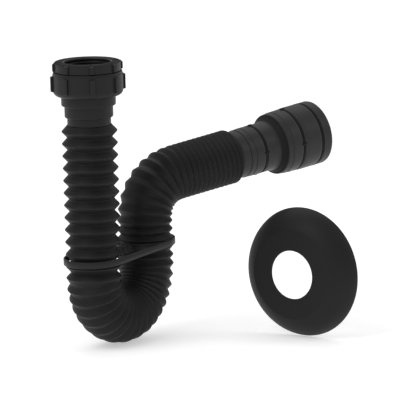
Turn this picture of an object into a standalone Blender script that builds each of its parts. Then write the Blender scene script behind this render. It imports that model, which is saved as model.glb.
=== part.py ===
"""A flexible P trap: union nut and reducer ring, corrugated hose, strap, stepped outlet and wall rosette.
Lengths are millimetres, turned into metres where a mesh is made. The origin is the centre of the inlet's
top face. +Z is up and the outlet points along +X, tipped up a little."""

import math

import bmesh
import bpy
from mathutils import Matrix, Vector

MM = 0.001
GAP = 0.3  # between pieces that touch on the real object
STEPS = 32  # flats round each turned piece
HOSE_STEPS = 20  # flats round the hose

# Inlet: ring, nut and cuff.
RING_R, RING_LUG_R, RING_BORE_R = 25.7, 27.3, 17.9
RING_TALL, RING_SKIRT_Z = 7.2, -12.5
LUGS, LUG_WIDE, LUG_AT = 8, 4.0, math.radians(-118.5)
NUT_R, NUT_LUG_R, NUT_BORE_R = 27.2, 29.1, 23.9
NUT_TOP, NUT_END = -(RING_TALL + GAP), -27.7
NUT_ROUND = 5.0
SEAL_TALL = 3.0
FLANGE_TALL = 3.2
WALL = 1.8
SKIRT_R, SKIRT_END = 21.1, -34.0
CUFF_R, CUFF_END = 18.8, -43.3
NECK_R, NECK_END = 16.8, -49.0

# Hose: radii, pitch and the path of its middle line.
PEAK_R, VALLEY_R, HOSE_WALL = 21.6, 17.5, 1.3
HOSE_TOP = NECK_END - GAP
LEG_PITCH, LEG_COUNT = 9.62, 12
LEG_END = HOSE_TOP - LEG_PITCH * LEG_COUNT - 4.6
TOP_COUNT, MID_COUNT = 3, 5  # convolutions in the fixed top section and in the one that stretches
BEND_R, BEND_AT = 36.0, math.radians(20.0)
BEND_COUNT = 20
RISE, RISE_COUNT = 40.0, 5
ELBOW_R, ELBOW_COUNT = 26.5, 8
ARM_TIP = math.radians(6.3)
ARM, ARM_COUNT, ARM_FIXED = 61.0, 13, 6

# Stepped outlet, measured along the arm from the hose's end.
SMALL_R, LARGE_R = 19.5, 25.4
SMALL_BORE_R, LARGE_BORE_R = 15.5, 21.5
OUTLET_LONG = 84.6
GROOVES = ((22.0, SMALL_R), (55.4, LARGE_R - 0.4), (74.0, LARGE_R))
GROOVE_WIDE, GROOVE_DEEP = 2.4, 1.7

# Strap round both legs, and rosette.
STRAP_Z, STRAP_TALL, STRAP_THICK, STRAP_TIP = -156.0, 5.2, 1.2, math.radians(2.5)
STRAP_CLEAR = 0.6
ROSETTE_R, ROSETTE_HOLE_R, ROSETTE_TALL, ROSETTE_WALL = 50.8, 19.1, 16.9, 1.8
ROSETTE_FACE_R = 35.2
ROSETTE_AT, ROSETTE_TURN = Vector((152.0, -67.7, -176.2)), math.radians(18.0)

UP, ALONG_X = Vector((0, 0, 1)), Vector((1, 0, 0))
TO_OUTLET = Vector((math.cos(BEND_AT), math.sin(BEND_AT), 0))
OUTLET_LEG = 2 * BEND_R * TO_OUTLET
ELBOW_Z = LEG_END + RISE
ARM_AXIS = Vector((math.cos(ARM_TIP), 0, math.sin(ARM_TIP)))
ARM_SIDE = Vector((math.sin(ARM_TIP), 0, -math.cos(ARM_TIP)))
ELBOW_TURN = math.pi / 2 - ARM_TIP
ARM_START = OUTLET_LEG + Vector(
    (ELBOW_R * (1 - math.cos(ELBOW_TURN)), 0, ELBOW_Z + ELBOW_R * math.sin(ELBOW_TURN))
)
HOSE_TAIL = ARM_START + ARM * ARM_AXIS

for old in list(bpy.data.objects):
    bpy.data.objects.remove(old, do_unlink=True)
trap = bpy.data.collections.new("p_trap")
cutters = bpy.data.collections.new("cutters")
cutters.hide_render = True
bpy.context.scene.collection.children.link(trap)
bpy.context.scene.collection.children.link(cutters)


def plastic(name, colour, rough):
    """A plain plastic of one colour."""
    made = bpy.data.materials.new(name)
    made.use_nodes = True
    shader = made.node_tree.nodes["Principled BSDF"]
    shader.inputs["Base Color"].default_value = (*colour, 1)
    shader.inputs["Roughness"].default_value = rough
    return made


FITTING = plastic("fitting_plastic", (0.045, 0.045, 0.047), 0.42)
HOSE = plastic("hose_plastic", (0.028, 0.028, 0.030), 0.5)
SEAL = plastic("seal_rubber", (0.015, 0.015, 0.016), 0.7)
BAND = plastic("strap_plastic", (0.022, 0.022, 0.024), 0.45)
PLATE = plastic("rosette_plastic", (0.020, 0.020, 0.022), 0.3)


def add(name, mesh, material, group=trap):
    """An object holding the mesh, with its faces all turned outwards."""
    made = bpy.data.objects.new(name, mesh)
    group.objects.link(made)
    if material:
        mesh.materials.append(material)
    return made


def turned(name, profile, material, place=None, steps=STEPS, bend_r=None):
    """A closed outline of (radius, height) turned round its own Z, which runs down the outside. With a
    bend radius, the turned piece is then bent from +Z towards +X at that radius."""
    mesh = bpy.data.meshes.new(name)
    count = len(profile)
    mesh.from_pydata(
        [(r * MM, 0, z * MM) for r, z in profile],
        [(i, (i + 1) % count) for i in range(count)],
        [],
    )
    made = add(name, mesh, material)
    screw = made.modifiers.new("turn", "SCREW")
    screw.axis, screw.angle = "Z", 2 * math.pi
    screw.steps = screw.render_steps = steps
    screw.use_merge_vertices, screw.merge_threshold = True, 0.00001
    if bend_r:
        heights = [z for _, z in profile]
        bend = made.modifiers.new("bend", "SIMPLE_DEFORM")
        bend.deform_method, bend.deform_axis = "BEND", "Y"
        bend.angle = (max(heights) - min(heights)) / bend_r
    made.matrix_world = place or Matrix.Identity(4)
    return made


def axes(start, side, forward):
    """A place from a start in millimetres, with local Z forward and local X to the side."""
    turn = Matrix((side, forward.cross(side), forward)).transposed().to_4x4()
    return Matrix.Translation(start * MM) @ turn


def ribs(start, pitch, count):
    """The outline of that many convolutions from start: V-shaped outside, and the same one wall inside."""
    outside = [(VALLEY_R, start + GAP / 2)]
    for i in range(count):
        outside.append((PEAK_R, start + (i + 0.5) * pitch))
        outside.append((VALLEY_R, start + (i + 1) * pitch))
    outside[-1] = (VALLEY_R, start + count * pitch - GAP / 2)
    return outside[::-1] + [(r - HOSE_WALL, s) for r, s in outside]


def hose(name, start, pitch, count, place, bend_r=None):
    """A section of corrugated hose along the place's Z, starting that far from its origin."""
    return turned(name, ribs(start, pitch, count), HOSE, place, HOSE_STEPS, bend_r)


def join(body, others, operation):
    """Adds the others to the body, or cuts them away."""
    for other in others:
        cut = body.modifiers.new(operation.lower(), "BOOLEAN")
        cut.operation, cut.solver, cut.object = operation, "EXACT", other
        other.hide_render = True
        other.display_type = "WIRE"


def block(name, size, place):
    """A box of the size in millimetres, in the helpers' collection."""
    form = bmesh.new()
    bmesh.ops.create_cube(form, size=1, matrix=Matrix.Diagonal((*(v * MM for v in size), 1)))
    mesh = bpy.data.meshes.new(name)
    form.to_mesh(mesh)
    form.free()
    made = add(name, mesh, None, cutters)
    made.matrix_world = place
    return made


def spoke(turn, radius, z):
    """A place at the radius and height, facing outwards at the angle."""
    return Matrix.Rotation(turn, 4, "Z") @ Matrix.Translation((radius * MM, 0, z * MM))


# Union nut: outer wall with a rounded lower edge, thread bore, and a lip that hooks under the flange.
flange_top = RING_SKIRT_Z - 3 * GAP - 2 * SEAL_TALL + 1.0
flange_end = flange_top - FLANGE_TALL
corner = [
    (
        NUT_R - NUT_ROUND * (1 - math.cos(math.radians(a))),
        NUT_END + NUT_ROUND * (1 - math.sin(math.radians(a))),
    )
    for a in (0, 25, 50, 75)
]
nut = turned(
    "union_nut",
    [(NUT_R - 0.6, NUT_TOP), (NUT_R, NUT_TOP - 0.6)]
    + corner
    + [
        (NUT_R - NUT_ROUND, NUT_END),
        (SKIRT_R + GAP, NUT_END),
        (SKIRT_R + GAP, flange_end - GAP),
        (NUT_BORE_R, flange_end - GAP),
        (NUT_BORE_R, NUT_TOP),
    ],
    FITTING,
)
lugs = []
for i in range(LUGS):
    turn = LUG_AT + i * 2 * math.pi / LUGS
    deep = NUT_LUG_R - NUT_R + 1.5
    lugs.append(
        block(f"nut_lug_{i}", (deep, LUG_WIDE, 11.7), spoke(turn, NUT_LUG_R - deep / 2, -16.4))
    )
join(nut, lugs, "UNION")

# Reducer ring: flanged ring with a skirt in the nut's mouth, grip lugs and an arrow notch at each.
ring = turned(
    "reducer_ring",
    [
        (RING_R - 0.5, 0),
        (RING_R, -0.5),
        (RING_R, -RING_TALL),
        (NUT_BORE_R - GAP, -RING_TALL),
        (NUT_BORE_R - GAP, RING_SKIRT_Z),
        (RING_BORE_R + 1.0, RING_SKIRT_Z),
        (RING_BORE_R, RING_SKIRT_Z + 1.0),
        (RING_BORE_R, -0.8),
        (RING_BORE_R + 0.8, 0),
    ],
    FITTING,
)
lugs, notches = [], []
for i in range(LUGS):
    turn = LUG_AT + i * 2 * math.pi / LUGS
    deep = RING_LUG_R - RING_R + 1.5
    lugs.append(
        block(f"ring_lug_{i}", (deep, LUG_WIDE, 5.4), spoke(turn, RING_LUG_R - deep / 2, -3.6))
    )
    notches.append(
        block(
            f"ring_notch_{i}",
            (2.2, 2.2, 1.2),
            spoke(turn, RING_R - 3.4, 0) @ Matrix.Rotation(math.pi / 4, 4, "Z"),
        )
    )
join(ring, lugs, "UNION")
join(ring, notches, "DIFFERENCE")

# Two seals: one rides under the ring, one lies on the cuff's flange.
seal_top = RING_SKIRT_Z - GAP
turned(
    "ring_seal",
    [
        (NUT_BORE_R - 0.9, seal_top),
        (NUT_BORE_R - 0.9, seal_top - SEAL_TALL),
        (RING_BORE_R - 1.4, seal_top - SEAL_TALL),
        (RING_BORE_R - 0.4, seal_top),
    ],
    SEAL,
)
seal_top = flange_top + GAP + SEAL_TALL - 1.0
turned(
    "flange_seal",
    [
        (NUT_BORE_R - 0.6, seal_top),
        (NUT_BORE_R - 0.6, flange_top + GAP),
        (RING_BORE_R, flange_top + GAP),
        (RING_BORE_R, seal_top),
    ],
    SEAL,
)

# Inlet cuff: flange held by the nut, then three steps down to the neck the hose grows from.
turned(
    "inlet_cuff",
    [
        (NUT_BORE_R - 0.5, flange_top),
        (NUT_BORE_R - 0.5, flange_end),
        (SKIRT_R, flange_end),
        (SKIRT_R, SKIRT_END + 0.8),
        (SKIRT_R - 0.8, SKIRT_END),
        (CUFF_R, SKIRT_END),
        (CUFF_R, CUFF_END + 1.0),
        (CUFF_R - 1.0, CUFF_END),
        (NECK_R, CUFF_END),
        (NECK_R, NECK_END),
        (NECK_R - WALL, NECK_END),
        (NECK_R - WALL, CUFF_END + WALL),
        (CUFF_R - WALL, CUFF_END + WALL + 0.5),
        (CUFF_R - WALL, SKIRT_END + WALL),
        (SKIRT_R - WALL, SKIRT_END + WALL + 0.5),
        (SKIRT_R - WALL, flange_top),
    ],
    FITTING,
)


# Hose, from the neck: inlet leg in three sections, U bend in two, outlet leg, elbow, and arm in two.
leg_long = HOSE_TOP - LEG_END
mid_start = TOP_COUNT * LEG_PITCH
low_start = (TOP_COUNT + MID_COUNT) * LEG_PITCH
low_count = LEG_COUNT - TOP_COUNT - MID_COUNT
low_pitch = (leg_long - low_start) / low_count
leg_place = axes(Vector((0, 0, HOSE_TOP)), TO_OUTLET, -UP)
hose("hose_inlet_top", 0, LEG_PITCH, TOP_COUNT, leg_place)
hose("hose_inlet_mid", mid_start, LEG_PITCH, MID_COUNT, leg_place)
hose("hose_inlet_low", low_start, low_pitch, low_count, leg_place)
half = BEND_COUNT // 2
quarter = BEND_R * math.pi / 2
bend_place = axes(Vector((0, 0, LEG_END)), TO_OUTLET, -UP)
hose("hose_bend_in", 0, quarter / half, half, bend_place, BEND_R)
hose("hose_bend_out", quarter, quarter / half, half, bend_place, BEND_R)
rise_place = axes(OUTLET_LEG + LEG_END * UP, ALONG_X, UP)
hose("hose_outlet_leg", 0, RISE / RISE_COUNT, RISE_COUNT, rise_place)
elbow_pitch = ELBOW_R * ELBOW_TURN / ELBOW_COUNT
elbow_place = axes(OUTLET_LEG + ELBOW_Z * UP, ALONG_X, UP)
hose("hose_elbow", 0, elbow_pitch, ELBOW_COUNT, elbow_place, ELBOW_R)
arm_pitch = ARM / ARM_COUNT
arm_place = axes(ARM_START, ARM_SIDE, ARM_AXIS)
hose("hose_arm_fixed", 0, arm_pitch, ARM_FIXED, arm_place)
hose("hose_arm_sliding", ARM_FIXED * arm_pitch, arm_pitch, ARM_COUNT - ARM_FIXED, arm_place)

# Stepped outlet, turned round the arm's axis: small section, rounded shoulder, large section, mouth band.
outlet_place = axes(HOSE_TAIL, ARM_SIDE, ARM_AXIS)
outside = [(SMALL_R - 1.2, GAP), (SMALL_R - 0.6, 1.0), (SMALL_R - 0.6, 8.3), (SMALL_R - 0.2, 8.6)]
shoulder = [(SMALL_R, 34.2), (SMALL_R + 0.8, 37.6), (LARGE_R - 2.8, 40.9), (LARGE_R - 1.7, 41.2), (LARGE_R - 0.8, 46.2)]
for (start, radius), then in zip(GROOVES, (shoulder, [], [])):
    outside += [
        (radius, start),
        (radius - GROOVE_DEEP, start),
        (radius - GROOVE_DEEP, start + GROOVE_WIDE),
        (radius, start + GROOVE_WIDE),
    ] + then
outside += [(LARGE_R, OUTLET_LONG - 1.5), (LARGE_R - 1.0, OUTLET_LONG)]
inside = [
    (LARGE_BORE_R, OUTLET_LONG),
    (LARGE_BORE_R, 45.0),
    (SMALL_BORE_R, 36.0),
    (SMALL_BORE_R, GAP),
]
# The outline climbs the outside here, so it is reversed to run down it.
turned("outlet_adapter", list(reversed(outside + inside)), FITTING, outlet_place)

# A dark ring fills each groove, with four small nubs that stand proud of it.
for name, (start, radius) in zip(("seal_small", "seal_large", "seal_mouth"), GROOVES):
    inner, outer = radius - GROOVE_DEEP + GAP, radius + 0.1
    low, high = start + GAP, start + GROOVE_WIDE - GAP
    seal = turned(
        name, [(outer, high), (outer, low), (inner, low), (inner, high)], SEAL, outlet_place
    )
    if name != "seal_mouth":
        nubs = [
            block(
                f"{name}_nub_{i}",
                (1.6, 2.0, high - low - 0.4),
                outlet_place @ spoke(i * math.pi / 2, radius - 0.1, (low + high) / 2),
            )
            for i in range(4)
        ]
        join(seal, nubs, "UNION")


# Strap: a band round both legs, and the clip that bridges them.
spacing = 2 * BEND_R / math.cos(STRAP_TIP)  # of the legs, in the strap's tipped plane


def loop(radius):
    """The outline round both legs at the radius, in the strap's own plane."""
    points = []
    for centre, first in ((0.0, math.pi / 2), (spacing, -math.pi / 2)):
        for i in range(17):
            turn = first + math.pi * i / 16
            points.append(Vector((centre + radius * math.cos(turn), radius * math.sin(turn), 0)))
    return points


strap_place = (
    Matrix.Translation(Vector((0, 0, STRAP_Z)) * MM)
    @ Matrix.Rotation(BEND_AT, 4, "Z")
    @ Matrix.Rotation(-STRAP_TIP, 4, "Y")
)
strap_in = PEAK_R + STRAP_CLEAR
form = bmesh.new()
low = [form.verts.new((p - STRAP_TALL / 2 * UP) * MM) for p in loop(strap_in)]
edges = [form.edges.new((low[i], low[(i + 1) % len(low)])) for i in range(len(low))]
raised = bmesh.ops.extrude_edge_only(form, edges=edges)["geom"]
bmesh.ops.translate(
    form, verts=[v for v in raised if isinstance(v, bmesh.types.BMVert)], vec=STRAP_TALL * MM * UP
)
mesh = bpy.data.meshes.new("strap")
form.to_mesh(mesh)
form.free()
strap = add("strap", mesh, BAND)
strap.matrix_world = strap_place
thick = strap.modifiers.new("thickness", "SOLIDIFY")
thick.thickness, thick.offset, thick.use_even_offset = STRAP_THICK * MM, -1, True

# The clip is a block between the strap's two runs, hollowed at each end to sit against a leg.
mesh = bpy.data.meshes.new("strap_clip")
form = bmesh.new()
clip_wide = 2 * (strap_in - GAP)
clip_long = spacing - 2 * strap_in + 12.0
bmesh.ops.create_cube(
    form, size=1, matrix=Matrix.Diagonal((clip_long * MM, clip_wide * MM, STRAP_TALL * MM, 1))
)
form.to_mesh(mesh)
form.free()
clip = add("strap_clip", mesh, BAND)
clip.matrix_world = strap_place @ Matrix.Translation((spacing / 2 * MM, 0, 0))
hollows = []
for i, centre in enumerate((0, spacing)):
    form = bmesh.new()
    bmesh.ops.create_cone(
        form, segments=40, radius1=strap_in * MM, radius2=strap_in * MM, depth=20 * MM, cap_ends=True
    )
    cutter = bpy.data.meshes.new(f"clip_hollow_{i}")
    form.to_mesh(cutter)
    form.free()
    hollow = add(f"clip_hollow_{i}", cutter, None, cutters)
    hollow.matrix_world = strap_place @ Matrix.Translation((centre * MM, 0, 0))
    hollows.append(hollow)
for side in (-1, 1):
    hollows.append(
        block(
            f"clip_side_{side + 1}",
            (clip_long + 4, clip_wide, STRAP_TALL + 6),
            strap_place @ Matrix.Translation((spacing / 2 * MM, side * (clip_wide / 2 + 9) * MM, 0)),
        )
    )
join(clip, hollows, "DIFFERENCE")

# Rosette: a flat front round the pipe's hole, then a round flank that steepens down to a flat rim.
to_wall = Vector((math.cos(ROSETTE_TURN), math.sin(ROSETTE_TURN), 0))
flank = [(2.8, 1.3), (5.3, 2.9), (7.7, 4.7), (9.8, 6.8), (11.7, 9.1), (13.2, 11.6), (14.5, 14.2)]
front = [
    (ROSETTE_HOLE_R, ROSETTE_TALL),
    (ROSETTE_FACE_R - 7, ROSETTE_TALL),
    (ROSETTE_FACE_R, ROSETTE_TALL),
    *((ROSETTE_FACE_R + out, ROSETTE_TALL - down) for out, down in flank),
    (ROSETTE_R, 0.0),
]
back = [
    (ROSETTE_HOLE_R, ROSETTE_TALL - ROSETTE_WALL),
    (ROSETTE_FACE_R - 0.6, ROSETTE_TALL - ROSETTE_WALL),
    *((ROSETTE_FACE_R + out - 1.2, ROSETTE_TALL - down - 1.5) for out, down in flank[:-1]),
    (ROSETTE_R - 2.4, 0.0),
]
turned(
    "rosette",
    front + list(reversed(back)),
    PLATE,
    axes(ROSETTE_AT, UP, -to_wall),
    steps=40,
)
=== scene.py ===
"""A flexible P trap: union nut and reducer ring, corrugated hose, strap, stepped outlet and wall
rosette. Everything is black moulded plastic or rubber, shown in a plain white studio."""

import math

import bpy
import numpy as np
from mathutils import Matrix, Vector


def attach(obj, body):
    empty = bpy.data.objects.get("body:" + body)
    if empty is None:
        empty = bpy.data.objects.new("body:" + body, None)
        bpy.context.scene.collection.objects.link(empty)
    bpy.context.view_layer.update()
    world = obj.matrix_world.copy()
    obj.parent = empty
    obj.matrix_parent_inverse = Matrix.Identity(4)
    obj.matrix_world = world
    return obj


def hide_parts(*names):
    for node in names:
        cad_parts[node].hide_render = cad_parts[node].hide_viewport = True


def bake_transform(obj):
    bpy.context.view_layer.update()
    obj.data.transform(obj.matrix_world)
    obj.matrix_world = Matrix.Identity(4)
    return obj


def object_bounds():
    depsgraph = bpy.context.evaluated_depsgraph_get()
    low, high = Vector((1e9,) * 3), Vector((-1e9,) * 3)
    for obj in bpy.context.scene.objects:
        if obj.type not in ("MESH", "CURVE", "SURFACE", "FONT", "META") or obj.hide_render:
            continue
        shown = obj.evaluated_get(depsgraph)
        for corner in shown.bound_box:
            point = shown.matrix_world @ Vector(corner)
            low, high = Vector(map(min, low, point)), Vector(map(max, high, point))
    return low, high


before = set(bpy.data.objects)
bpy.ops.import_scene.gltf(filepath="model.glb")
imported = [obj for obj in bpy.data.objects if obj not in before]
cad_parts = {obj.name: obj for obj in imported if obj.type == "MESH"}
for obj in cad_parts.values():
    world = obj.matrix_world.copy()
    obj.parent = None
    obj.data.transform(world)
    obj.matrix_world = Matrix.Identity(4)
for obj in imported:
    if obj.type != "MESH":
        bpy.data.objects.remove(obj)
cad_low, cad_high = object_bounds()
MM = 0.001


# ---------------------------------------------------------------- camera and studio
# A long lens a good way off, turned to the arm's side and looking a little down. The floor glows a
# little, as a light table does, so that the black plastic is lit evenly from all round. One wide
# lamp on the left and two weak ones only model it.
BEARING, LOOK_DOWN, LEAN = (math.radians(v) for v in (36.5, 10.178, 1.69))
CAMERA_AWAY, AIM_RIGHT, AIM_DOWN = 4.6083, 0.09086, 0.11083
FLOOR_HALF, FLOOR_GAP = 9, 0.0004
across = Vector((math.cos(BEARING), -math.sin(BEARING), 0))
ahead_level = Vector((math.sin(BEARING), math.cos(BEARING), 0))
ahead = ahead_level * math.cos(LOOK_DOWN) - Vector((0, 0, math.sin(LOOK_DOWN)))
upright = ahead_level * math.sin(LOOK_DOWN) + Vector((0, 0, math.cos(LOOK_DOWN)))
right = across * math.cos(LEAN) - upright * math.sin(LEAN)
top = upright * math.cos(LEAN) + across * math.sin(LEAN)
aim = right * AIM_RIGHT - top * AIM_DOWN
lens = bpy.data.cameras.new("camera")
lens.lens, lens.sensor_width = 525.5, 36
lens.clip_start, lens.clip_end = 0.5, 50
camera = bpy.data.objects.new("camera", lens)
bpy.context.scene.collection.objects.link(camera)
facing = Matrix((right, top, -ahead)).transposed().to_4x4()
camera.matrix_world = Matrix.Translation(aim - ahead * CAMERA_AWAY) @ facing
bpy.context.scene.camera = camera
bpy.context.scene.view_settings.view_transform = "Standard"

ground = cad_low.z - FLOOR_GAP
square = ((-1, -1), (1, -1), (1, 1), (-1, 1))
corners = [(x * FLOOR_HALF, y * FLOOR_HALF, ground) for x, y in square]
floor_mesh = bpy.data.meshes.new("studio_floor")
floor_mesh.from_pydata(corners, [], [(0, 1, 2, 3)])
floor = bpy.data.objects.new("studio_floor", floor_mesh)
bpy.context.scene.collection.objects.link(floor)


def feed(tree, slot, value):
    """Links a reading to a socket, or sets the socket to a plain value."""
    if isinstance(value, Reading):
        tree.links.new(value.socket, slot)
    else:
        slot.default_value = value


class Reading:
    """One output of a shader node. Each operator between readings or numbers adds one Math node."""

    def __init__(self, tree, socket):
        self.tree, self.socket = tree, socket

    def sum_with(self, how, left, right):
        maths = self.tree.nodes.new("ShaderNodeMath")
        maths.operation = how
        for slot, value in zip(maths.inputs, (left, right)):
            feed(self.tree, slot, value)
        return Reading(self.tree, maths.outputs[0])

    def __add__(self, other):
        return self.sum_with("ADD", self, other)

    def __radd__(self, other):
        return self.sum_with("ADD", other, self)

    def __sub__(self, other):
        return self.sum_with("SUBTRACT", self, other)

    def __rsub__(self, other):
        return self.sum_with("SUBTRACT", other, self)

    def __mul__(self, other):
        return self.sum_with("MULTIPLY", self, other)

    def __rmul__(self, other):
        return self.sum_with("MULTIPLY", other, self)

    def __pow__(self, other):
        return self.sum_with("POWER", self, other)


class Finish:
    """A material being mixed. node() adds one node: its settings first, then its sockets, by name,
    or by number in numbered."""

    def __init__(self, name):
        self.material = bpy.data.materials.new(name)
        self.material.use_nodes = True
        self.tree = self.material.node_tree
        self.shader = self.tree.nodes["Principled BSDF"]

    def node(self, kind, settings=None, out=0, numbered=None, **sockets):
        made = self.tree.nodes.new("ShaderNode" + kind)
        for key, value in (settings or {}).items():
            if key == "stops":
                ramp = made.color_ramp.elements
                ramp[0].position, ramp[0].color = value[0][0], (*(value[0][1],) * 3, 1)
                ramp[1].position, ramp[1].color = value[1][0], (*(value[1][1],) * 3, 1)
            else:
                setattr(made, key, value)
        for key, value in sockets.items():
            feed(self.tree, made.inputs[key.replace("_", " ")], value)
        for key, value in (numbered or {}).items():
            feed(self.tree, made.inputs[key], value)
        return Reading(self.tree, made.outputs[out])

    def noise(self, scale, detail=2.0, rough=0.5, stretch=(1, 1, 1)):
        where = self.node("TexCoord", out=3)
        if stretch != (1, 1, 1):
            where = self.node("Mapping", Vector=where, Scale=stretch)
        return self.node("TexNoise", Vector=where, Scale=scale, Detail=detail, Roughness=rough)

    def attribute(self, name):
        return self.node("Attribute", {"attribute_name": name}, out=2)

    def ramp(self, value, low, high):
        """0 below low, 1 above high, straight between."""
        return self.node("ValToRGB", {"stops": ((low, 0), (high, 1))}, Fac=value)

    def blend(self, share, first, second):
        """A colour between the first, at 0, and the second, at 1."""
        first, second = (v if isinstance(v, Reading) else (*v, 1) for v in (first, second))
        return self.node("Mix", {"data_type": "RGBA"}, 2, {0: share, 6: first, 7: second})

    def done(self, colour, rough, height=None, deep=0.0002, strength=0.5, gloss=0.2):
        self.shader.inputs["Specular IOR Level"].default_value = gloss
        for key, value in (("Base Color", colour), ("Roughness", rough)):
            feed(self.tree, self.shader.inputs[key], value)
        if height is not None:
            bump = self.node("Bump", Height=height, Distance=deep, Strength=strength)
            self.tree.links.new(bump.socket, self.shader.inputs["Normal"])
        return self.material


paper = Finish("studio_paper")
pale = paper.blend(paper.noise(3.0), (0.86, 0.86, 0.86), (0.9, 0.9, 0.9))
floor_mesh.materials.append(paper.done(pale, 0.9, gloss=0.1))
paper.shader.inputs["Emission Color"].default_value = (1, 1, 1, 1)
paper.shader.inputs["Emission Strength"].default_value = 0.42
world = bpy.data.worlds.new("studio")
world.use_nodes = True
world.node_tree.nodes["Background"].inputs["Color"].default_value = (1, 1, 1, 1)
world.node_tree.nodes["Background"].inputs["Strength"].default_value = 0.56
bpy.context.scene.world = world
for name, spot, size, power in (
    ("lamp_left", (-1.3, -0.2, 1.3), 1.2, 10),
    ("lamp_over", (0.6, 0.9, 1.9), 2.2, 8),
    ("lamp_right", (1.3, -1.1, 0.9), 0.9, 3),
):
    light = bpy.data.lights.new(name, "AREA")
    light.shape, light.size, light.energy = "DISK", size, power
    lamp = bpy.data.objects.new(name, light)
    bpy.context.scene.collection.objects.link(lamp)
    away = Vector(spot) - Vector((0.09, 0, -0.11))
    lamp.matrix_world = Matrix.Translation(spot) @ away.to_track_quat("Z", "Y").to_matrix().to_4x4()


# ---------------------------------------------------------------- union nut
# One injection moulding in black polypropylene: a round wall with eight grip lugs, a rounded foot,
# and inside a coarse thread and the lip that hooks under the cuff's flange. It turns freely on the
# cuff.
LUGS, LUG_WIDE, LUG_STEP, FIRST_LUG = 8, 4.0, 0.9, math.radians(-118.5)
NUT_R, NUT_LUG_RISE = 27.2, 1.9
THREAD_PITCH, NUT_THREAD_DEEP = 2.309, 0.7


def outline(corners, step=99.0, arc=5):
    """A closed line in (radius, height) through corners of (radius, height, rounding). A corner P
    between A and B becomes the arc that touches both sides: with h half the angle at P, it starts
    rounding / tan h from P, and its centre lies rounding / sin h from P on the bisector. Runs
    longer than step are split."""
    points = np.array([c[:2] for c in corners], float)
    rounding = np.array([c[2] for c in corners], float)[:, None]
    to_last = np.roll(points, 1, 0) - points
    to_next = np.roll(points, -1, 0) - points
    to_last /= np.linalg.norm(to_last, axis=1, keepdims=True)
    to_next /= np.linalg.norm(to_next, axis=1, keepdims=True)
    half = np.arccos(np.clip((to_last * to_next).sum(1, keepdims=True), -1, 1)) / 2
    bisector = to_last + to_next
    bisector /= np.maximum(np.linalg.norm(bisector, axis=1, keepdims=True), 1e-9)
    centre = points + bisector * rounding / np.sin(half)
    first = points + to_last * rounding / np.tan(half) - centre
    last = points + to_next * rounding / np.tan(half) - centre
    share = np.linspace(0, 1, arc)[None, :, None]
    swing = np.maximum(np.pi - 2 * half, 1e-6)[:, None]
    line = centre[:, None] + (
        first[:, None] * np.sin((1 - share) * swing) + last[:, None] * np.sin(share * swing)
    ) / np.sin(swing)
    line = line.reshape(-1, 2)
    run = np.linalg.norm(np.roll(line, -1, 0) - line, axis=1)
    parts = np.maximum(np.ceil(run / step), 1).astype(int)
    place = np.repeat(np.arange(len(line)), parts)
    within = np.arange(len(place)) - np.repeat(np.cumsum(parts) - parts, parts)
    share = (within / parts[place])[:, None]
    return line[place] * (1 - share) + line[(place + 1) % len(line)] * share


def skin(name, points, ends=False, **values):
    """A mesh from a grid of points in millimetres. Point (i, j) makes one face with its neighbours
    (i + 1, j), (i + 1, j + 1) and (i, j + 1). The grid closes on itself both ways, or with ends it
    stays open along i and each end gets one flat face. The faces turn outwards, which is where the
    sum of the signed tetrahedra from the origin is positive. values are kept as numbers on the
    points."""
    rows, columns = points.shape[:2]
    index = np.arange(rows * columns).reshape(rows, columns)
    here = index if not ends else index[:-1]
    then = np.roll(index, -1, 0) if not ends else index[1:]
    quads = np.stack([here, np.roll(here, -1, 1), np.roll(then, -1, 1), then], -1).reshape(-1, 4)
    flat = points.reshape(-1, 3) * MM
    a, b, c, d = flat[quads].transpose(1, 0, 2)
    volume = (np.cross(a, b) * c).sum() + (np.cross(a, c) * d).sum()
    faces = (quads[:, ::-1] if volume < 0 else quads).tolist()
    if ends:
        caps = [index[0][::-1].tolist(), index[-1].tolist()]
        faces += [cap[::-1] for cap in caps] if volume < 0 else caps
    mesh = bpy.data.meshes.new(name)
    mesh.from_pydata(flat, [], faces)
    mesh.polygons.foreach_set("use_smooth", np.arange(len(faces)) < len(quads))
    for key, value in values.items():
        held = mesh.attributes.new(key, "FLOAT", "POINT")
        held.data.foreach_set("value", np.broadcast_to(value, (rows, columns)).ravel())
    made = bpy.data.objects.new(name, mesh)
    bpy.context.scene.collection.objects.link(made)
    return made


def turned(angles, radius, height, start=(0, 0, 0), axis=(0, 0, 1), side=(1, 0, 0)):
    """Points (radius cos a, radius sin a, height) on the axis, for each angle a and each outline
    point."""
    start, axis, side = (np.array(v, float) for v in (start, axis, side))
    other = np.cross(axis, side)
    a = np.asarray(angles)[:, None, None]
    ring = np.cos(a) * side + np.sin(a) * other
    radius = np.broadcast_to(radius, (len(angles), np.shape(height)[-1]))[..., None]
    height = np.broadcast_to(height, radius.shape[:2])[..., None]
    return start + ring * radius + axis * height


def smooth(value):
    """0 below 0, 1 above 1, and between them 3 v^2 - 2 v^3."""
    value = np.clip(value, 0, 1)
    return value * value * (3 - 2 * value)


def lug_angles(radius):
    """Angles round a lugged ring: close together at each lug's two sides, and even between them."""
    edge = LUG_WIDE / 2 + np.array([-0.6, -0.35, -0.18, 0, 0.18, 0.35, 0.6])
    half = np.concatenate([np.linspace(0, LUG_WIDE / 2 - LUG_STEP, 3), edge]) / radius
    half = np.concatenate([half, np.linspace(half[-1], math.pi / LUGS, 9)[1:]])
    one = np.concatenate([-half[:0:-1], half])[:-1]
    return (FIRST_LUG + np.arange(LUGS)[:, None] * 2 * math.pi / LUGS + one).ravel()


def off_lug(angles):
    """How far each angle is from the middle of the nearest lug, without its sign."""
    pitch = 2 * math.pi / LUGS
    return np.abs((angles - FIRST_LUG + pitch / 2) % pitch - pitch / 2)


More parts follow.
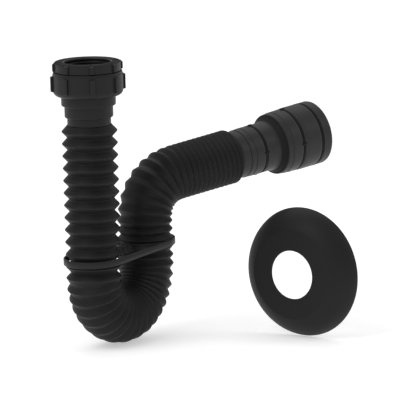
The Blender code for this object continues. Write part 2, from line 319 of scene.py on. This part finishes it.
def lug_rise(angles, radius):
    """1 on a lug and 0 beside it, as a smooth step LUG_STEP wide at each side."""
    return smooth((LUG_WIDE / 2 + LUG_STEP / 2 - off_lug(angles) * radius) / LUG_STEP)


def thread_form(angles, height):
    """A thread's height from 0 to 1: a V repeated each pitch along the axis, shifted one pitch a
    turn."""
    return np.abs(((angles[:, None] / (2 * math.pi) + height / THREAD_PITCH) % 1) * 2 - 1)


def near(value, low, high, soft):
    """1 between low and high and 0 outside them, with smooth steps soft wide."""
    return smooth((value - low) / soft + 0.5) * smooth((high - value) / soft + 0.5)


nut_line = outline(
    [
        (26.7, -7.5, 0.35),
        (26.7, -8.9, 0.15),
        (NUT_R, -9.3, 0.2),
        (NUT_R, -26.4, 4.6),
        (21.4, -26.4, 0.4),
        (21.4, -21.9, 0.3),
        (23.9, -21.9, 0.2),
        (23.9, -7.5, 0.5),
    ],
    step=0.35,
    arc=9,
)
angles = lug_angles(NUT_R)
radius, height = nut_line[:, 0], nut_line[:, 1]
lug = lug_rise(angles, NUT_R)[:, None] * near(height, -22.4, -10.6, 0.7) * (radius > 25.5)
thread = NUT_THREAD_DEEP * thread_form(angles, height) * near(height, -19.5, -9.0, 1.0)
thread = thread * ((radius < 24.3) & (radius > 23.5))
# Painted light: the lugs' outer edges carry a painted highlight, and their side walls painted
# shade, darker and rougher.
nut = skin(
    "union_nut_shell",
    turned(angles, radius + NUT_LUG_RISE * lug + thread, height),
    edge=near(lug, 0.72, 0.99, 0.1) * 0.8,
    dull=np.clip(6 * lug * (1 - lug), 0, 1) * (lug < 0.8),
)


def moulded(name, dark, light, rough, wear_and_sheen=0.5, peel=0.5):
    """Injection-moulded black plastic: slow flow marks in colour and gloss, a fine satin grain,
    faint handling scratches, edges painted a little paler where the mesh marks them (rubbed on the
    cuff and outlet, a painted highlight on the lugs and the ring's bore), and painted shade, darker
    and duller, on the faces it marks as lying in shade."""
    mix = Finish(name)
    flow = mix.noise(28.0, 3.0, 0.6)
    cloud = mix.noise(9.0, 2.0, 0.5)
    grain = mix.noise(2600.0, 1.0, 0.5)
    satin = mix.noise(420.0, 2.0, 0.55)
    scratch = mix.ramp(mix.noise(95.0, 4.0, 0.75, (1, 1, 9)), 0.66, 0.74)
    # Paler edges: rubbed on the cuff and outlet, a painted highlight on the lugs and the ring's
    # bore.
    rubbed = mix.attribute("edge") * (0.4 + 0.6 * satin) * wear_and_sheen
    tone = mix.blend(flow * 0.6 + cloud * 0.4, dark, light)
    tone = mix.blend(rubbed + scratch * 0.12, tone, tuple(min(1, 2.6 * c) for c in light))
    # Painted shade: faces lying in shade are darkened towards black and made rougher.
    dull = mix.attribute("dull")
    tone = mix.blend(dull * 0.85, tone, tuple(0.3 * c for c in dark))
    gloss = rough - 0.07 + 0.16 * flow + 0.10 * scratch - 0.08 * rubbed + 0.3 * dull
    return mix.done(tone, gloss, grain * 0.5 + satin * 0.5 + flow * 0.8, 0.00012, peel)


fitting = moulded("fitting_plastic", (0.008, 0.008, 0.0085), (0.013, 0.013, 0.0138), 0.44)
nut.data.materials.append(fitting)
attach(nut, "nut")
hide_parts("union_nut")


# ---------------------------------------------------------------- reducer ring
# A flanged ring screwed into the nut's mouth, with its own eight small lugs in line with the nut's,
# a scooped arrow at each, and a coarse female thread down its bore. It screws out of the nut.
RING_R, RING_LUG_RISE, RING_THREAD_DEEP, ARROW_DEEP, ARROW_WIDE = 25.7, 1.6, 0.95, 0.55, 1.9
ring_line = outline(
    [
        (RING_R, 0, 0.8),
        (RING_R, -7.2, 0.3),
        (23.6, -7.2, 0.2),
        (23.6, -12.5, 0.4),
        (17.9, -12.5, 0.9),
        (17.9, 0, 1.0),
    ],
    step=0.3,
    arc=9,
)
angles = lug_angles(RING_R)
radius, height = ring_line[:, 0], ring_line[:, 1]
lug = lug_rise(angles, RING_R)[:, None]
side = near(height, -6.7, -0.1, 0.3) * (radius > 24.6)
rise = lug * side * np.minimum(RING_LUG_RISE, np.maximum(0, -height + 0.1))
cut = RING_THREAD_DEEP * thread_form(angles, height) * near(height, -11.4, -1.9, 0.8)
cut = cut * (radius < 18.3)
arrow = smooth(1 - off_lug(angles)[:, None] * 24 / ARROW_WIDE)
sink = ARROW_DEEP * arrow * near(radius, 20.6, 24.6, 1.2) * (height > -0.9)
# Painted highlight on the lug tops and the bore's chamfer; painted shade, darker and rougher, on
# the top face and the lug walls.
lug_top_highlight = 1.4 * near(height, -1.5, -0.2, 0.5) * (radius > 24.5) * lug
bore_edge_highlight = near(height, -1.2, 0.2, 0.6) * (radius < 18.8)
top_face_shade = near(height, -0.3, 1, 0.3) * near(radius, 19.2, 26, 0.5)
ring = skin(
    "reducer_ring_shell",
    turned(angles, radius + rise + cut, height - sink),
    edge=lug_top_highlight + bore_edge_highlight,
    dull=top_face_shade + np.clip(5 * lug * (1 - lug), 0, 1) * side,
)
ring.data.materials.append(fitting)
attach(ring, "ring")
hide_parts("reducer_ring")


# ---------------------------------------------------------------- seals
# Soft black rubber: a tapered washer that the ring squeezes onto the tailpiece, and a flat washer
# that lies on the cuff's flange. Rubber is matt, with a faint grey bloom.
def rubber(name):
    """Matt rubber: nearly black, with a pale bloom in soft patches and a fine grain."""
    mix = Finish(name)
    bloom = mix.ramp(mix.noise(60.0, 3.0, 0.6), 0.42, 0.75)
    grain = mix.noise(1800.0, 2.0, 0.6)
    tone = mix.blend(bloom * 0.5, (0.004, 0.004, 0.0043), (0.010, 0.010, 0.010))
    return mix.done(tone, 0.62 + 0.16 * bloom + 0.06 * grain, grain, 0.00008, 0.6)


seal_rubber = rubber("seal_rubber")
even = np.linspace(0, 2 * math.pi, 128, endpoint=False)
for name, node, body, corners in (
    (
        "tailpiece_washer",
        "ring_seal",
        "ring_washer",
        [(23.0, -12.8, 0.4), (23.0, -15.8, 0.4), (16.5, -15.8, 0.4), (17.5, -12.8, 0.4)],
    ),
    (
        "flange_washer",
        "flange_seal",
        "inlet",
        [(23.3, -16.1, 0.4), (23.3, -18.1, 0.4), (17.9, -18.1, 0.4), (17.9, -16.1, 0.4)],
    ),
):
    line = outline(corners, step=1.0)
    washer = skin(name, turned(even, line[:, 0], line[:, 1]))
    washer.data.materials.append(seal_rubber)
    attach(washer, body)
    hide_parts(node)


# ---------------------------------------------------------------- inlet cuff
# The smooth top of the hose moulding: a flange inside the nut, then skirt, cuff and neck, each step
# smaller and rounded at its lower edge. The hose hangs from its neck.
cuff_line = outline(
    [
        (23.4, -18.4, 0.4),
        (23.4, -21.6, 0.3),
        (21.1, -21.6, 0.3),
        (21.1, -34.0, 1.0),
        (18.8, -34.0, 0.35),
        (18.8, -43.3, 1.2),
        (16.9, -43.3, 0.4),
        (16.9, -49.2, 0.3),
        (15.9, -49.2, 0.1),
        (15.9, -50.7, 0.2),
        (14.9, -50.7, 0.2),
        (14.9, -41.4, 0.4),
        (17.0, -40.9, 0.5),
        (17.0, -32.2, 0.5),
        (19.3, -31.7, 0.5),
        (19.3, -18.4, 0.4),
    ],
    step=1.2,
    arc=7,
)
radius, height = cuff_line[:, 0], cuff_line[:, 1]
worn = near(height, -34.2, -33.0, 0.6) + near(height, -43.4, -42.2, 0.6)
cuff = skin("inlet_cuff_shell", turned(even, radius, height), edge=0.15 * worn * (radius > 17.5))
cuff.data.materials.append(fitting)
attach(cuff, "inlet")
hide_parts("inlet_cuff")


# ---------------------------------------------------------------- corrugated hose
# One long blow-moulded tube with V-shaped ribs. It hangs stretched under the cuff, turns up in a U
# with its ribs bunched on the inside, rises, bends over and runs out squeezed short in the arm. It
# is made in pieces that meet in a valley, each spanning one joint.
HOSE_TOP, LEG, BEND_R, RISE, ELBOW_R, ARM = -49.3, 120.04, 36.0, 40.0, 26.5, 61.0
PEAK_R, WALL, FLANK, WIDE_PITCH, LEAST_DEEP = 21.6, 1.2, 6.32, 9.62, 1.1
STEP = 0.05
TO_OUTLET = np.array([math.cos(math.radians(20)), math.sin(math.radians(20)), 0])
ACROSS_BEND = np.array([-TO_OUTLET[1], TO_OUTLET[0], 0])
ARM_TIP = math.radians(6.3)
OVER = math.pi / 2 - ARM_TIP
ARM_AXIS = np.array([math.cos(ARM_TIP), 0, math.sin(ARM_TIP)])
ARM_SIDE = np.array([math.sin(ARM_TIP), 0, -math.cos(ARM_TIP)])
X, Y, Z = np.eye(3)
rise_start = LEG + math.pi * BEND_R
leg_foot = 2 * BEND_R * TO_OUTLET + Z * (HOSE_TOP - LEG)
arm_foot = leg_foot + Z * RISE + ELBOW_R * (X * (1 - math.cos(OVER)) + Z * math.sin(OVER))
hose_tail = arm_foot + ARM * ARM_AXIS


def down_and_round(along):
    """The hose's middle line from the cuff: straight down, a half circle towards the outlet,
    straight up. With t the angle run in the half circle, the middle is R (1 - cos t) across and R
    sin t below its start. It also gives the two directions across the hose there."""
    t = np.clip(along - LEG, 0, math.pi * BEND_R) / BEND_R
    up = np.clip(along - rise_start, 0, None) - np.minimum(along, LEG)
    middle = (
        TO_OUTLET * BEND_R * (1 - np.cos(t))[:, None]
        + Z * (HOSE_TOP + up - BEND_R * np.sin(t))[:, None]
    )
    inward = TO_OUTLET * np.cos(t)[:, None] + Z * np.sin(t)[:, None]
    return middle, inward, np.broadcast_to(ACROSS_BEND, middle.shape)


# The turn over is not a circle: the hose leans over slowly, then faster, then slowly again, along
# 61 mm. Its lean is OVER (3 v^2 - 2 v^3), v being the share run, and the sums of its sine and
# cosine give how far it has gone out and up. It starts where its far end then lies on the arm's own
# line.
TURN = 61.0
share = (np.arange(0, TURN, STEP) + STEP / 2) / TURN
gone_out, gone_up = (STEP * f(OVER * smooth(share)).sum() for f in (np.sin, np.cos))
arm_height = arm_foot[2] + (leg_foot[0] + gone_out - arm_foot[0]) * math.tan(ARM_TIP)
turn_start = rise_start + arm_height - gone_up - leg_foot[2]
turn_end = leg_foot + X * gone_out + Z * (arm_height - leg_foot[2])
hose_end = turn_start + TURN + (hose_tail - turn_end) @ ARM_AXIS
over_at = np.arange(rise_start - STEP, hose_end + 2 * STEP, STEP)
over_lean = OVER * smooth((over_at - turn_start) / TURN)
over_out = np.cumsum(np.sin(over_lean)) * STEP
over_up = np.cumsum(np.cos(over_lean)) * STEP - STEP


def up_and_over(along):
    """The middle line from the outlet leg: straight up, over towards +X, and straight along the
    arm."""
    lean = np.interp(along, over_at, over_lean)
    out, up = (np.interp(along, over_at, run) for run in (over_out, over_up))
    middle = leg_foot + X * out[:, None] + Z * up[:, None]
    inward = X * np.cos(lean)[:, None] - Z * np.sin(lean)[:, None]
    return middle, inward, np.broadcast_to(Y, middle.shape)


# How far apart the ribs are at each place on the line, and from that how many ribs come before it.
PITCHES = (
    (0, WIDE_PITCH), (112, WIDE_PITCH), (119, 8.0), (126, 6.3), (140, 6.5), (150, 7.1), (182, 7.1),
    (196, 6.2), (215, 6.1), (226, 6.5), (240, 7.0), (258, 6.6), (274, 7.3), (285, 7.0), (306, 6.2),
    (318, 5.2), (325, 4.72), (358, 4.72), (366, 3.9), (400, 3.9),
)
line_at = np.arange(0, hose_end + 0.1, 0.1)
spacing = np.interp(line_at, *zip(*PITCHES))
ribs_before = np.concatenate([[0], np.cumsum(0.1 / spacing[:-1])])
ribs_before *= round(ribs_before[-1]) / ribs_before[-1]


def valley_near(along):
    """The number of the valley nearest to that place."""
    return int(round(np.interp(along, line_at, ribs_before)))


def ribbed(name, first, last, line, sides=112):
    """The hose from one valley to another. With u the share of a rib, its radius is the peak's less
    the depth times 1/2 - asin(k sin(2 pi (u - 1/4))) / (2 asin k): a triangle wave whose tips are
    rounded. A rib's two flanks keep their length f, so where the pitch p is wide the depth sqrt(f^2
    - p^2 / 4) is small. A closed fold shows no deeper than 0.36 p, or 0.56 p - 1.2 above 6. Round a
    bend p shrinks inside and grows outside, by the radius times the curvature, and the outside is
    pulled up to 0.35 flatter. The wall's inside is the same a wall nearer the middle, and the two
    meet at each end."""
    half_rib = np.array([0, 0.035, 0.09, 0.18, 0.32, 0.41, 0.465])
    tips = np.concatenate([half_rib, [0.5], 1 - half_rib[:0:-1]])
    count = np.arange(first, last)[:, None]
    outside = np.append((count + tips).ravel(), last)
    inside = np.append((count + np.array([0, 0.25, 0.5, 0.75])).ravel(), last)[::-1]
    number = np.concatenate([outside, inside])
    along = np.interp(number, ribs_before, line_at)
    k = 0.985
    wave = 0.5 + np.arcsin(k * np.sin(2 * math.pi * (number - 0.25))) / (2 * math.asin(k))
    shell = np.where(np.arange(len(number)) < len(outside), 0, WALL)
    middle, inward, sideways = line(along)
    curving = ((line(along + 1)[0] + line(along - 1)[0] - 2 * middle) * inward).sum(-1)
    turn = np.linspace(0, 2 * math.pi, sides, endpoint=False)[:, None]
    to_inside = PEAK_R * np.sin(turn) * curving
    pitch = np.interp(along, line_at, spacing) * (1 - to_inside)
    closed = 0.36 * pitch + 0.2 * np.maximum(pitch - 6, 0)
    deep = np.minimum(np.sqrt(np.maximum(FLANK**2 - pitch**2 / 4, 1)), closed)
    pulled = np.clip(-to_inside / 0.4, 0, 1)
    deep = np.maximum(deep * (1 - 0.35 * pulled), LEAST_DEEP)
    radius = PEAK_R - 0.25 * np.maximum(pitch - WIDE_PITCH, 0) - deep * (1 - wave)
    # Two seams of the mould stand up as fine lines on the sides.
    seam = 0.12 * np.exp(-(np.sin(turn) ** 2) / 0.0012) * (shell == 0)
    outwards = np.cos(turn)[..., None] * sideways + np.sin(turn)[..., None] * inward
    points = middle + outwards * (radius - shell + seam)[..., None]
    rubbing = np.clip(wave * 2.2 - 1.2, 0, 1) * (shell == 0) * np.clip(pitch / 9.0, 0.2, 1)
    return skin(name, points, edge=rubbing, dip=1 - wave)


def blown(name, dark, light, rough):
    """Blow-moulded black plastic: satin, with a soft orange-peel skin, rib tips rubbed paler and
    smoother, and a little dust lying in the valleys."""
    mix = Finish(name)
    flow = mix.noise(24.0, 3.0, 0.6)
    peel = mix.noise(330.0, 2.0, 0.5)
    grain = mix.noise(1900.0, 1.0, 0.5)
    patch = mix.noise(75.0, 3.0, 0.6)
    rubbed = mix.attribute("edge") ** 2.0 * mix.ramp(patch, 0.3, 0.7)
    dust = mix.attribute("dip") ** 3.0 * mix.ramp(patch, 0.35, 0.75)
    tone = mix.blend(flow, dark, light)
    tone = mix.blend(rubbed * 0.14, tone, tuple(2.4 * c for c in light))
    tone = mix.blend(dust * 0.05, tone, (0.03, 0.029, 0.0275))
    gloss = rough - 0.08 + 0.14 * flow - 0.02 * rubbed + 0.16 * dust
    return mix.done(tone, gloss, peel * 0.7 + grain * 0.3, 0.00018, 0.5)


hose_plastic = blown("hose_plastic", (0.0065, 0.0065, 0.007), (0.0105, 0.0105, 0.011), 0.52)
leg_end, low_seam = valley_near(LEG - 1), valley_near(turn_start - 1)
arm_seam, last_valley = valley_near(turn_start + TURN + 1), int(round(ribs_before[-1]))
made = {}
for name, first, last, line, nodes in (
    (
        "hose_leg",
        0,
        leg_end,
        down_and_round,
        ("hose_inlet_top", "hose_inlet_mid", "hose_inlet_low"),
    ),
    (
        "hose_bend",
        leg_end,
        low_seam,
        down_and_round,
        ("hose_bend_in", "hose_bend_out", "hose_outlet_leg"),
    ),
    ("hose_over", low_seam, arm_seam, up_and_over, ("hose_elbow", "hose_arm_fixed")),
    ("hose_arm", arm_seam, last_valley, up_and_over, ("hose_arm_sliding",)),
):
    made[name] = ribbed(name, first, last, line)
    made[name].data.materials.append(hose_plastic)
    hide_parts(*nodes)

# For each piece, the bodies at its two ends and the stretch that gives at its joint; only its
# transform is baked here.
low_ring, arm_ring = up_and_over(np.interp([low_seam, arm_seam], ribs_before, line_at))[0]
low_edge, arm_edge = low_ring + PEAK_R * X, arm_ring + PEAK_R * ARM_SIDE
slant = (X + Z) / math.sqrt(2)
slant_end = low_edge + ((arm_edge - low_edge) @ slant) * slant
for name, first, last, start, end in (
    ("hose_leg", "inlet", "bend", (0, 0, -56), (0, 0, -146)),
    ("hose_bend", "bend", "swing", low_ring - 18 * Z, low_ring),
    ("hose_over", "swing", "arm", low_edge, slant_end),
    ("hose_arm", "arm", "outlet", arm_ring, hose_tail),
):
    start, end = (tuple(float(v) * MM for v in place) for place in (start, end))
    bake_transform(made[name])


# ---------------------------------------------------------------- stepped outlet
# A stiff moulding pushed a little way into the hose's end: a short collar, the small pipe section,
# a shoulder, the large section and the mouth. Three grooves run round it, where it may be cut back
# to fit the pipe.
SMALL, MIDDLE, LARGE, MOUTH, OUTLET_LONG = 19.5, 25.0, 25.4, 21.5, 84.6
GROOVES = ((22.0, SMALL), (55.4, MIDDLE), (74.0, LARGE))


def groove(start, radius):
    """The four corners of a groove 2.4 wide and 1.7 deep."""
    floor_r, end = radius - 1.7, start + 2.4
    return (radius, start, 0.25), (floor_r, start, 0.2), (floor_r, end, 0.2), (radius, end, 0.25)


outlet_line = outline(
    [
        (17.9, -1.6, 0.3),
        (17.9, 0.3, 0.1),
        (18.9, 0.9, 0.2),
        (18.9, 8.0, 0.1),
        (18.6, 8.3, 0.1),
        (19.3, 8.6, 0.1),
        (19.3, 13.0, 0.1),
        (19.0, 13.3, 0.1),
        (SMALL, 13.6, 0.1),
        *groove(*GROOVES[0]),
        (SMALL, 34.2, 0.4),
        (20.3, 37.6, 1.2),
        (22.6, 40.9, 0.7),
        (23.7, 41.2, 0.2),
        (24.2, 41.9, 0.3),
        (24.6, 45.9, 0.1),
        (24.3, 46.2, 0.1),
        (24.8, 46.5, 0.1),
        *groove(*GROOVES[1]),
        (LARGE, 61.0, 2.0),
        *groove(*GROOVES[2]),
        (LARGE, OUTLET_LONG, 1.3),
        (MOUTH, OUTLET_LONG, 0.6),
        (MOUTH, 45.0, 2.0),
        (15.5, 36.0, 2.0),
        (15.5, -1.6, 0.4),
    ],
    step=2.0,
    arc=4,
)
angles = np.linspace(0, 2 * math.pi, 160, endpoint=False)
radius, height = outlet_line[:, 0], outlet_line[:, 1]
edges = sum(near(height, start - 0.7, start + 3.1, 0.7) for start, _ in GROOVES)
edges = edges + near(height, OUTLET_LONG - 2, OUTLET_LONG + 0.4, 0.8)
# Painted shade: the shoulder's cove is darkened and made rougher.
outlet = skin(
    "outlet_shell",
    turned(angles, radius, height, hose_tail, ARM_AXIS, ARM_SIDE),
    edge=np.clip(edges, 0, 1) * 0.4,
    dull=near(height, 36.4, 41.5, 0.8) * (radius > 19),
)
pipe_plastic = moulded("outlet_plastic", (0.020, 0.020, 0.0208), (0.029, 0.029, 0.030), 0.42, 0.4)
outlet.data.materials.append(pipe_plastic)
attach(outlet, "outlet")
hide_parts("outlet_adapter")

# A soft ring lies in each groove. Those of the first two stand up in four nubs.
NUB_RISE, NUB_WIDE = 1.0, 0.9
fine = np.linspace(0, 2 * math.pi, 384, endpoint=False)
off = np.abs((fine + math.pi / 4) % (math.pi / 2) - math.pi / 4)[:, None]
SOFT_RINGS = (("seal_small", 1), ("seal_large", 1), ("seal_mouth", 0))
for (start, radius), (node, nubs) in zip(GROOVES, SOFT_RINGS):
    line = outline(
        [
            (radius + 0.1, start + 2.1, 0.5),
            (radius + 0.1, start + 0.3, 0.5),
            (radius - 1.4, start + 0.3, 0.2),
            (radius - 1.4, start + 2.1, 0.2),
        ],
        step=0.5,
    )
    nub = smooth(1.6 - off * radius / NUB_WIDE) * (line[:, 0] > radius - 0.7) * nubs
    across_ring = start + 1.2 + (line[:, 1] - start - 1.2) * (1 + 1.1 * nub)
    soft_ring = skin(
        node + "_ring",
        turned(fine, line[:, 0] + NUB_RISE * nub, across_ring, hose_tail, ARM_AXIS, ARM_SIDE),
    )
    soft_ring.data.materials.append(seal_rubber)
    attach(soft_ring, "outlet")
    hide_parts(node)


# ---------------------------------------------------------------- strap and clip
# A thin flat band round both legs keeps the U closed. Between the legs it is doubled: a half loop
# hugs each leg's inner side, and a ribbed bridge joins the two half loops.
STRAP_Z, STRAP_TALL, STRAP_THICK, STRAP_TIP = -155.2, 5.2, 1.2, math.radians(1.9)
STRAP_IN = PEAK_R + 0.6
leg_gap = 2 * BEND_R / math.cos(STRAP_TIP)
strap_across = TO_OUTLET * math.cos(STRAP_TIP) + Z * math.sin(STRAP_TIP)
strap_up = Z * math.cos(STRAP_TIP) - TO_OUTLET * math.sin(STRAP_TIP)


def strap_point(run, wide, up):
    """A point of the strap's own plane: run towards the outlet leg, wide across it, and up the
    band."""
    run, wide, up = (np.asarray(v, float)[..., None] for v in (run, wide, up))
    return Z * STRAP_Z + strap_across * run + ACROSS_BEND * wide + strap_up * up


def band(name, centre, out_run, out_wide, ends=False):
    """A flat band in the strap's plane, STRAP_IN from its centres, which lie on the line between
    the legs, in the direction outwards at each. Its section is a rectangle with rounded long
    edges."""
    tall, thick, r = STRAP_TALL / 2, STRAP_THICK, 0.35
    up = np.array([-tall + r, tall - r, tall, tall, tall - r, -tall + r, -tall, -tall])
    out = np.array([0, 0, r, thick - r, thick, thick, thick - r, r])
    points = strap_point(
        (centre + STRAP_IN * out_run)[:, None] + out_run[:, None] * out,
        (STRAP_IN * out_wide)[:, None] + out_wide[:, None] * out,
        np.broadcast_to(up, (len(out_run), 8)),
    )
    return skin(name, points, ends, edge=np.array([0, 0, 1, 1, 0, 0, 1, 1]) * 1.0)


def extruded(name, dark, light, rough):
    """Extruded plastic strip: fine lines run along it."""
    mix = Finish(name)
    lines = mix.noise(1500.0, 2.0, 0.6, (0.06, 0.06, 1))
    flow = mix.noise(40.0, 3.0, 0.6)
    rubbed = mix.attribute("edge") * mix.ramp(mix.noise(120.0, 2.0), 0.4, 0.7)
    tone = mix.blend(rubbed * 0.4, mix.blend(flow, dark, light), tuple(2.2 * c for c in light))
    return mix.done(tone, rough - 0.05 + 0.12 * flow, lines, 0.00006, 0.5)


strap_plastic = extruded("strap_plastic", (0.011, 0.011, 0.0115), (0.017, 0.017, 0.0175), 0.42)
# Straight to the outlet leg, half round it, straight back, and half round the inlet leg.
straight = np.linspace(0.04, 0.96, 24) * leg_gap
still = np.zeros(len(straight))
outlet_half = np.linspace(0, math.pi, 49) - math.pi / 2
inlet_half = outlet_half + math.pi
centre = np.concatenate([straight, np.full(49, leg_gap), straight[::-1], np.zeros(49)])
out_run = np.concatenate([still, np.cos(outlet_half), still, np.cos(inlet_half)])
out_wide = np.concatenate([still - 1, np.sin(outlet_half), still + 1, np.sin(inlet_half)])
strap = band("strap_band", centre, out_run, out_wide)
strap.data.materials.append(strap_plastic)
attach(strap, "tie")
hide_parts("strap")
clips = []
for name, centre, facing in (
    ("strap_loop_inlet", 0.0, 0.0),
    ("strap_loop_outlet", leg_gap, math.pi),
):
    turn = facing + np.linspace(-1.30, 1.30, 61)
    clips.append(band(name, centre, np.cos(turn), np.sin(turn), ends=True))
# The bridge: a bar with three upright ribs, its height a row of rounded steps along it.
reach = np.linspace(STRAP_IN + STRAP_THICK - 0.3, leg_gap - STRAP_IN - STRAP_THICK + 0.3, 121)
ridge = sum(near(reach, leg_gap / 2 + c - 1.1, leg_gap / 2 + c + 1.1, 0.6) for c in (-6.5, 0, 6.5))
turn = np.linspace(0, 2 * math.pi, 24, endpoint=False)
square = (np.abs(np.cos(turn)) ** 8 + np.abs(np.sin(turn)) ** 8) ** (-1 / 8)
bar = strap_point(
    np.broadcast_to(reach[:, None], (121, 24)),
    (4.2 + 1.0 * ridge)[:, None] * square * np.cos(turn),
    (2.2 + 0.8 * ridge)[:, None] * square * np.sin(turn),
)
clips.append(skin("strap_bridge", bar, True, edge=ridge[:, None] * 0.6))
for clip in clips:
    clip.data.materials.append(strap_plastic)
    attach(clip, "tie")
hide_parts("strap_clip")


# ---------------------------------------------------------------- rosette
# A thin round plate that hides the hole in the wall: a flat face round the pipe's hole, then a
# convex flank down to the rim. It is pressed to a half gloss and shown loose beside the trap.
ROSETTE_R, HOLE_R, FACE_R, TALL, SHEET = 50.8, 19.1, 35.2, 16.9, 1.7
rosette_at = np.array([152.0, -67.7, -176.2])
to_wall = np.array([math.cos(math.radians(18)), math.sin(math.radians(18)), 0])
# The flank is an arc whose slope grows from its first angle at the face to its last at the rim.
slope = np.linspace(math.radians(24), math.radians(76), 33)
step_out, step_down = np.cos(slope), np.sin(slope)
out, down = (np.concatenate([[0], np.cumsum((v[1:] + v[:-1]) / 2)]) for v in (step_out, step_down))
out, down = out / out[-1] * (ROSETTE_R - FACE_R), down / down[-1] * TALL
front = np.stack([FACE_R + out, TALL - down], 1)
flat = np.stack([np.linspace(HOLE_R, FACE_R, 12)[1:-1], np.full(10, TALL)], 1)
lip = np.array([[HOLE_R, TALL - 0.5], [HOLE_R + 0.15, TALL - 0.15], [HOLE_R + 0.5, TALL]])
across_line = np.diff(front, axis=0, append=front[-1:] * 2 - front[-2:-1])
across_line /= np.linalg.norm(across_line, axis=1, keepdims=True)
behind = front + np.stack([across_line[:, 1], -across_line[:, 0]], 1) * SHEET
behind = behind[behind[:, 1] > 0.05]
inner = np.concatenate(
    [
        [[ROSETTE_R - 1.9, 0.0]],
        behind[::-1],
        np.stack([np.linspace(FACE_R - 1, HOLE_R + 0.3, 8), np.full(8, TALL - SHEET)], 1),
        [[HOLE_R, TALL - 1.5]],
    ]
)
radius, height = np.concatenate([lip, flat, front, inner]).T
angles = np.linspace(0, 2 * math.pi, 256, endpoint=False)
hole_edge = near(radius, HOLE_R - 1, HOLE_R + 0.4, 0.3)
rim = near(radius, ROSETTE_R - 0.8, 60, 0.8)
rosette = skin(
    "rosette_plate",
    turned(angles, radius, height, rosette_at, -to_wall, Z),
    edge=0.6 * hole_edge + 0.5 * rim,
)


def pressed(name, dark, light, rough):
    """Half-gloss black plastic: an even skin with long shallow waves, and fine round handling
    marks."""
    mix = Finish(name)
    wave = mix.noise(22.0, 1.0, 0.4)
    grain = mix.noise(1600.0, 1.0, 0.5)
    marks = mix.ramp(mix.noise(260.0, 5.0, 0.8, (1, 1, 0.25)), 0.68, 0.76)
    rubbed = mix.attribute("edge") * mix.ramp(mix.noise(90.0, 2.0), 0.35, 0.7)
    tone = mix.blend(wave, dark, light)
    tone = mix.blend(rubbed * 0.5 + marks * 0.10, tone, tuple(2.6 * c for c in light))
    gloss = rough + 0.08 * wave + 0.10 * marks
    return mix.done(tone, gloss, wave * 0.3 + grain * 0.12, 0.0002, 0.2)


plate_plastic = pressed("rosette_plastic", (0.008, 0.008, 0.0085), (0.0115, 0.0115, 0.012), 0.5)
rosette.data.materials.append(plate_plastic)
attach(rosette, "plate")
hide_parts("rosette")
